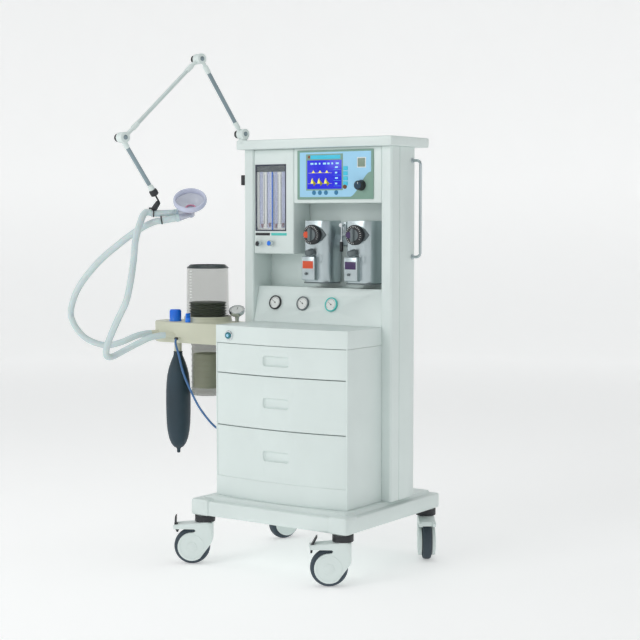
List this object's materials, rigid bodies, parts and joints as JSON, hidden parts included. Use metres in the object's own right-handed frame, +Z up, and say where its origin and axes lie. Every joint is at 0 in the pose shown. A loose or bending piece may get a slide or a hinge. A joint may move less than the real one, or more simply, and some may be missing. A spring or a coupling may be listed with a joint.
{
  "type": "veterinary anesthesia machine on casters",
  "caption": "Wheeled anesthesia machine: drawers, gas panel, ventilator display, vaporizers, absorber with bellows, jointed arm and patient hoses.",
  "frame": {"origin": "middle of the footprint on the floor, measured without the patient circuit", "axes": "+Z up, the drawers face -Y, +X is the right of someone facing the machine's front"},
  "size_m": [1.2464, 0.8302, 1.7628],
  "materials": {
    "enamel_white": "satin",
    "absorber_beige": "satin",
    "black_plastic": "satin",
    "tyre_grey": "matte",
    "satin_steel": "brushed",
    "chrome": "polished",
    "blue_knob": "gloss",
    "smoked_clear": "clear",
    "slate_rubber": "matte",
    "clear_hose": "translucent",
    "gas_hose_blue": "satin",
    "panel_green_grey": "matte",
    "dial_grey": "satin",
    "flush_teal": "gloss"
  },
  "bodies": {
    "cabinet": {"base_chassis": "enamel_white", "lower_cabinet": "enamel_white", "worktop": "enamel_white", "left_upright": "enamel_white", "right_upright": "enamel_white", "rear_wall": "enamel_white", "top_shelf": "enamel_white", "side_handle": "satin_steel", "flowmeter_housing": "enamel_white", "flow_tube_block": "enamel_white", "display_housing": "enamel_white", "display_panel": "panel_green_grey", "gauge_panel": "enamel_white", "pipeline_gauge_left": "dial_grey", "pipeline_gauge_middle": "dial_grey", "pipeline_gauge_right": "dial_grey", "vaporizer_bar": "satin_steel", "left_vaporizer": "satin_steel", "right_vaporizer": "satin_steel", "absorber_body": "absorber_beige", "bellows_dome": "smoked_clear", "soda_canister": "smoked_clear", "breathing_bag": "slate_rubber", "airway_gauge": "chrome", "inspiratory_hose": "clear_hose", "expiratory_hose": "clear_hose", "fresh_gas_hose": "gas_hose_blue", "y_piece": "clear_hose"},
    "front_left_caster": {"front_left_caster_fork": "enamel_white"},
    "front_left_wheel": {"front_left_wheel": "tyre_grey"},
    "front_left_brake_pedal": {"front_left_brake_pedal": "black_plastic"},
    "front_right_caster": {"front_right_caster_fork": "enamel_white"},
    "front_right_wheel": {"front_right_wheel": "tyre_grey"},
    "front_right_brake_pedal": {"front_right_brake_pedal": "black_plastic"},
    "rear_left_caster": {"rear_left_caster_fork": "enamel_white"},
    "rear_left_wheel": {"rear_left_wheel": "tyre_grey"},
    "rear_right_caster": {"rear_right_caster_fork": "enamel_white"},
    "rear_right_wheel": {"rear_right_wheel": "tyre_grey"},
    "top_drawer": {"top_drawer": "enamel_white"},
    "middle_drawer": {"middle_drawer": "enamel_white"},
    "bottom_drawer": {"bottom_drawer": "enamel_white"},
    "oxygen_flow_knob": {"oxygen_flow_knob": "chrome"},
    "air_flow_knob": {"air_flow_knob": "chrome"},
    "menu_knob": {"menu_knob": "dial_grey"},
    "left_vaporizer_dial": {"left_vaporizer_dial": "dial_grey"},
    "right_vaporizer_dial": {"right_vaporizer_dial": "dial_grey"},
    "interlock_lever": {"interlock_lever": "chrome"},
    "oxygen_flush_button": {"oxygen_flush_button": "flush_teal"},
    "apl_valve_knob": {"apl_valve_knob": "blue_knob"},
    "bag_vent_selector": {"bag_vent_selector": "blue_knob"},
    "bellows_top": {"bellows": "slate_rubber"},
    "arm_turret": {"arm_turret": "enamel_white"},
    "lower_link": {"lower_link": "enamel_white"},
    "upper_link": {"upper_link": "enamel_white"},
    "end_link": {"end_link": "enamel_white"},
    "hose_holder": {"hose_holder": "black_plastic"},
    "shoulder_clamp_knob": {"shoulder_clamp_knob": "black_plastic"},
    "elbow_clamp_knob": {"elbow_clamp_knob": "black_plastic"},
    "wrist_clamp_knob": {"wrist_clamp_knob": "black_plastic"},
    "face_mask": {"face_mask": "clear_hose"}
  },
  "joints": [
    {"name": "front_left_swivel", "type": "hinge", "parent": "cabinet", "child": "front_left_caster", "pos_m": [-0.14929, -0.15347, 0.15], "axis": [0, 0, 1], "continuous": true},
    {"name": "front_left_roll", "type": "hinge", "parent": "front_left_caster", "child": "front_left_wheel", "pos_m": [-0.18638, -0.17896, 0.0625], "axis": [0.5664, -0.8241, 0], "continuous": true},
    {"name": "front_left_brake", "type": "hinge", "parent": "front_left_caster", "child": "front_left_brake_pedal", "pos_m": [-0.2317, -0.21011, 0.1315], "axis": [0.5664, -0.8241, 0], "range_deg": [-26, 0]},
    {"name": "front_right_swivel", "type": "hinge", "parent": "cabinet", "child": "front_right_caster", "pos_m": [0.42471, -0.15347, 0.15], "axis": [0, 0, 1], "continuous": true},
    {"name": "front_right_roll", "type": "hinge", "parent": "front_right_caster", "child": "front_right_wheel", "pos_m": [0.38762, -0.17896, 0.0625], "axis": [0.5664, -0.8241, 0], "continuous": true},
    {"name": "front_right_brake", "type": "hinge", "parent": "front_right_caster", "child": "front_right_brake_pedal", "pos_m": [0.3423, -0.21011, 0.1315], "axis": [0.5664, -0.8241, 0], "range_deg": [0, 26]},
    {"name": "rear_left_swivel", "type": "hinge", "parent": "cabinet", "child": "rear_left_caster", "pos_m": [-0.14929, 0.37653, 0.15], "axis": [0, 0, 1], "continuous": true},
    {"name": "rear_left_roll", "type": "hinge", "parent": "rear_left_caster", "child": "rear_left_wheel", "pos_m": [-0.16468, 0.33425, 0.0625], "axis": [0.9397, -0.342, 0], "continuous": true},
    {"name": "rear_right_swivel", "type": "hinge", "parent": "cabinet", "child": "rear_right_caster", "pos_m": [0.42471, 0.37653, 0.15], "axis": [0, 0, 1], "continuous": true},
    {"name": "rear_right_roll", "type": "hinge", "parent": "rear_right_caster", "child": "rear_right_wheel", "pos_m": [0.4502, 0.33945, 0.0625], "axis": [0.8241, 0.5664, 0], "continuous": true},
    {"name": "top_drawer_slide", "type": "slide", "parent": "cabinet", "child": "top_drawer", "axis": [0, -1, 0], "range_m": [0, 0.24]},
    {"name": "middle_drawer_slide", "type": "slide", "parent": "cabinet", "child": "middle_drawer", "axis": [0, -1, 0], "range_m": [0, 0.24]},
    {"name": "bottom_drawer_slide", "type": "slide", "parent": "cabinet", "child": "bottom_drawer", "axis": [0, -1, 0], "range_m": [0, 0.24]},
    {"name": "oxygen_flow_turn", "type": "hinge", "parent": "cabinet", "child": "oxygen_flow_knob", "pos_m": [-0.09869, 0.10713, 1.106], "axis": [0, -1, 0], "range_deg": [0, 540]},
    {"name": "air_flow_turn", "type": "hinge", "parent": "cabinet", "child": "air_flow_knob", "pos_m": [-0.04759, 0.10713, 1.108], "axis": [0, -1, 0], "range_deg": [0, 540]},
    {"name": "menu_knob_turn", "type": "hinge", "parent": "cabinet", "child": "menu_knob", "pos_m": [0.32761, 0.10713, 1.3073], "axis": [0, -1, 0], "continuous": true},
    {"name": "left_vaporizer_dial_turn", "type": "hinge", "parent": "cabinet", "child": "left_vaporizer_dial", "pos_m": [0.13271, 0.11353, 1.1391], "axis": [0, -1, 0], "range_deg": [0, 270]},
    {"name": "right_vaporizer_dial_turn", "type": "hinge", "parent": "cabinet", "child": "right_vaporizer_dial", "pos_m": [0.30871, 0.11353, 1.1391], "axis": [0, -1, 0], "range_deg": [0, 270]},
    {"name": "interlock_swing", "type": "hinge", "parent": "cabinet", "child": "interlock_lever", "pos_m": [0.22171, 0.14153, 1.172], "axis": [0, 1, 0], "range_deg": [-16, 16]},
    {"name": "oxygen_flush_press", "type": "slide", "parent": "cabinet", "child": "oxygen_flush_button", "axis": [0, 1, 0], "range_m": [0, 0.005], "stiffness_N_per_m": 500, "springref_m": -0.003},
    {"name": "apl_valve_turn", "type": "hinge", "parent": "cabinet", "child": "apl_valve_knob", "pos_m": [-0.41129, 0.00653, 0.85], "axis": [0, 0, 1], "range_deg": [0, 270]},
    {"name": "bag_vent_turn", "type": "hinge", "parent": "cabinet", "child": "bag_vent_selector", "pos_m": [-0.32529, -0.02747, 0.85], "axis": [0, 0, 1], "range_deg": [-90, 0]},
    {"name": "bellows_rise", "type": "slide", "parent": "cabinet", "child": "bellows_top", "axis": [0, 0, 1], "range_m": [0, 0.11], "deforming": ["bellows"]},
    {"name": "arm_swivel", "type": "hinge", "parent": "cabinet", "child": "arm_turret", "pos_m": [-0.16429, 0.08893, 1.4935], "axis": [0, 0, 1], "range_deg": [-90, 60], "deforming": ["inspiratory_hose", "expiratory_hose"]},
    {"name": "shoulder_tilt", "type": "hinge", "parent": "arm_turret", "child": "lower_link", "pos_m": [-0.16429, 0.08893, 1.4935], "axis": [-0.9636, 0.2672, 0], "range_deg": [-20, 30]},
    {"name": "elbow_tilt", "type": "hinge", "parent": "lower_link", "child": "upper_link", "pos_m": [-0.21405, -0.09048, 1.74511], "axis": [-0.9636, 0.2672, 0], "range_deg": [-25, 40]},
    {"name": "wrist_tilt", "type": "hinge", "parent": "upper_link", "child": "end_link", "pos_m": [-0.29805, -0.39338, 1.46504], "axis": [-0.9636, 0.2672, 0], "range_deg": [-30, 60]},
    {"name": "hose_holder_turn", "type": "hinge", "parent": "end_link", "child": "hose_holder", "pos_m": [-0.26439, -0.27201, 1.27619], "axis": [0.1483, 0.5347, -0.832], "range_deg": [-90, 90]},
    {"name": "shoulder_clamp_turn", "type": "hinge", "parent": "lower_link", "child": "shoulder_clamp_knob", "pos_m": [-0.16429, 0.08893, 1.4935], "axis": [-0.9636, 0.2672, 0], "range_deg": [0, 720]},
    {"name": "elbow_clamp_turn", "type": "hinge", "parent": "upper_link", "child": "elbow_clamp_knob", "pos_m": [-0.21405, -0.09048, 1.74511], "axis": [-0.9636, 0.2672, 0], "range_deg": [0, 720]},
    {"name": "wrist_clamp_turn", "type": "hinge", "parent": "end_link", "child": "wrist_clamp_knob", "pos_m": [-0.29805, -0.39338, 1.46504], "axis": [-0.9636, 0.2672, 0], "range_deg": [0, 720]},
    {"name": "mask_turn", "type": "hinge", "parent": "cabinet", "child": "face_mask", "pos_m": [-0.17129, -0.19947, 1.262], "axis": [0.364, -0.53, 0.7659], "continuous": true}
  ]
}
